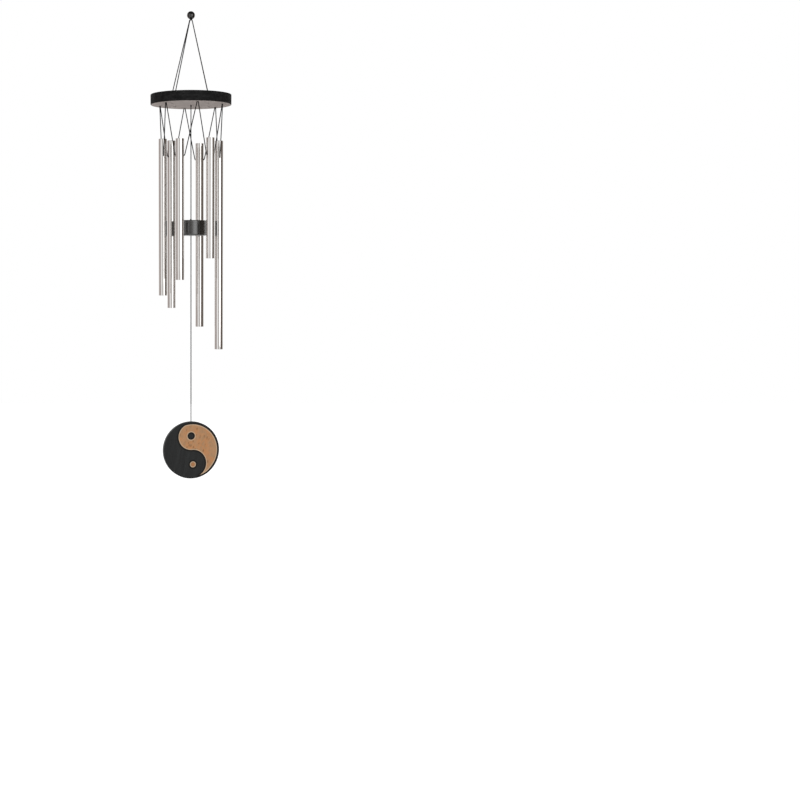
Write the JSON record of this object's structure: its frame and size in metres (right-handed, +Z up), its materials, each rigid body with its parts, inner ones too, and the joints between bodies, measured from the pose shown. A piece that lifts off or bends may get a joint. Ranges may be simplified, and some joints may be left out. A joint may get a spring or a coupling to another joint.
{
  "type": "wind chime",
  "caption": "Hanging wind chime with polished metal tubes under a round black disc, a round striker between them and a round black and pale yin-yang sail below.",
  "frame": {"origin": "centre of the ball that the chime hangs from", "axes": "+Z up along the chime's middle line, -Y towards the viewer of the picture, +X to the right"},
  "size_m": [0.122, 0.122, 0.7064],
  "materials": {
    "cord": "black braided cord",
    "ball": "glossy black lacquer",
    "black_wood": "satin black stain, bare taupe wood on the disc's underside",
    "pale_wood": "bare matt wood",
    "tube_metal": "polished, drawn lengthways"
  },
  "bodies": {
    "ball": {"hanging_ball": "ball"},
    "hanging_cord": {"hanging_cord": "cord"},
    "hanging_knot": {"hanging_knot": "cord"},
    "platform": {"suspension_cord_1": "cord", "suspension_cord_2": "cord", "suspension_cord_3": "cord", "suspension_cord_4": "cord", "top_disc": "black_wood", "tube_cord_anchors": "cord", "striker_cord_anchor": "cord"},
    "tube_cord_1": {"tube_cord_1": "cord"},
    "tube_1": {"tube_1": "tube_metal"},
    "tube_cord_2": {"tube_cord_2": "cord"},
    "tube_2": {"tube_2": "tube_metal"},
    "tube_cord_3": {"tube_cord_3": "cord"},
    "tube_3": {"tube_3": "tube_metal"},
    "tube_cord_4": {"tube_cord_4": "cord"},
    "tube_4": {"tube_4": "tube_metal"},
    "tube_cord_5": {"tube_cord_5": "cord"},
    "tube_5": {"tube_5": "tube_metal"},
    "tube_cord_6": {"tube_cord_6": "cord"},
    "tube_6": {"tube_6": "tube_metal"},
    "centre_knot": {"centre_knot": "cord"},
    "striker": {"striker": "black_wood", "striker_cord": "cord"},
    "sail_knot": {"sail_knot": "cord"},
    "sail_cord": {"sail_cord": "cord"},
    "sail": {"sail_disc": "black_wood", "pale_comma": "pale_wood", "pale_eye": "pale_wood"}
  },
  "joints": [
    {"name": "hang_turn", "type": "hinge", "parent": "ball", "child": "hanging_cord", "pos_m": [0, 0, 0], "axis": [0, 0, 1], "range_deg": [-90, 90]},
    {"name": "hang_swing_x", "type": "hinge", "parent": "hanging_cord", "child": "hanging_knot", "pos_m": [0, 0, -0.0054], "axis": [0, -1, 0], "range_deg": [-15, 15]},
    {"name": "hang_swing_y", "type": "hinge", "parent": "hanging_knot", "child": "platform", "pos_m": [0, 0, -0.0054], "axis": [1, 0, 0], "range_deg": [-15, 15]},
    {"name": "tube_1_cord_swing", "type": "hinge", "parent": "platform", "child": "tube_cord_1", "pos_m": [0.04251, 0.00865, -0.1327], "axis": [0.1994, -0.9799, 0], "range_deg": [-3.5, 10]},
    {"name": "tube_1_tilt", "type": "hinge", "parent": "tube_cord_1", "child": "tube_1", "pos_m": [0.04251, 0.00865, -0.2105], "axis": [-0.1994, 0.9799, 0], "range_deg": [-15, 6]},
    {"name": "tube_2_cord_swing", "type": "hinge", "parent": "platform", "child": "tube_cord_2", "pos_m": [0.01376, 0.04114, -0.1327], "axis": [0.9483, -0.3173, 0], "range_deg": [-3.5, 10]},
    {"name": "tube_2_tilt", "type": "hinge", "parent": "tube_cord_2", "child": "tube_2", "pos_m": [0.01329, 0.0413, -0.2117], "axis": [-0.9483, 0.3173, 0], "range_deg": [-15, 6]},
    {"name": "tube_3_cord_swing", "type": "hinge", "parent": "platform", "child": "tube_cord_3", "pos_m": [-0.02874, 0.03249, -0.1327], "axis": [0.749, 0.6626, 0], "range_deg": [-3.5, 10]},
    {"name": "tube_3_tilt", "type": "hinge", "parent": "tube_cord_3", "child": "tube_3", "pos_m": [-0.03017, 0.03123, -0.2083], "axis": [-0.749, -0.6626, 0], "range_deg": [-15, 6]},
    {"name": "tube_4_cord_swing", "type": "hinge", "parent": "platform", "child": "tube_cord_4", "pos_m": [-0.04251, -0.00865, -0.1327], "axis": [0.1994, -0.9799, 0], "range_deg": [-10, 3.5]},
    {"name": "tube_4_tilt", "type": "hinge", "parent": "tube_cord_4", "child": "tube_4", "pos_m": [-0.04251, -0.00865, -0.2092], "axis": [-0.1994, 0.9799, 0], "range_deg": [-6, 15]},
    {"name": "tube_5_cord_swing", "type": "hinge", "parent": "platform", "child": "tube_cord_5", "pos_m": [-0.01376, -0.04114, -0.1327], "axis": [0.9483, -0.3173, 0], "range_deg": [-10, 3.5]},
    {"name": "tube_5_tilt", "type": "hinge", "parent": "tube_cord_5", "child": "tube_5", "pos_m": [-0.01651, -0.04022, -0.2112], "axis": [-0.9483, 0.3173, 0], "range_deg": [-6, 15]},
    {"name": "tube_6_cord_swing", "type": "hinge", "parent": "platform", "child": "tube_cord_6", "pos_m": [0.02874, -0.03249, -0.1327], "axis": [0.749, 0.6626, 0], "range_deg": [-10, 3.5]},
    {"name": "tube_6_tilt", "type": "hinge", "parent": "tube_cord_6", "child": "tube_6", "pos_m": [0.02874, -0.03249, -0.2092], "axis": [-0.749, -0.6626, 0], "range_deg": [-6, 15]},
    {"name": "striker_swing_x", "type": "hinge", "parent": "platform", "child": "centre_knot", "pos_m": [0, 0, -0.134], "axis": [0, -1, 0], "range_deg": [-3.6, 3.6]},
    {"name": "striker_swing_y", "type": "hinge", "parent": "centre_knot", "child": "striker", "pos_m": [0, 0, -0.134], "axis": [1, 0, 0], "range_deg": [-3.6, 3.6]},
    {"name": "sail_swing_x", "type": "hinge", "parent": "striker", "child": "sail_knot", "pos_m": [0, 0, -0.3255], "axis": [0, -1, 0], "range_deg": [-11, 11]},
    {"name": "sail_swing_y", "type": "hinge", "parent": "sail_knot", "child": "sail_cord", "pos_m": [0, 0, -0.3255], "axis": [1, 0, 0], "range_deg": [-11, 11]},
    {"name": "sail_turn", "type": "hinge", "parent": "sail_cord", "child": "sail", "pos_m": [0, 0, -0.6568], "axis": [0, 0, 1], "range_deg": [-180, 180]}
  ]
}
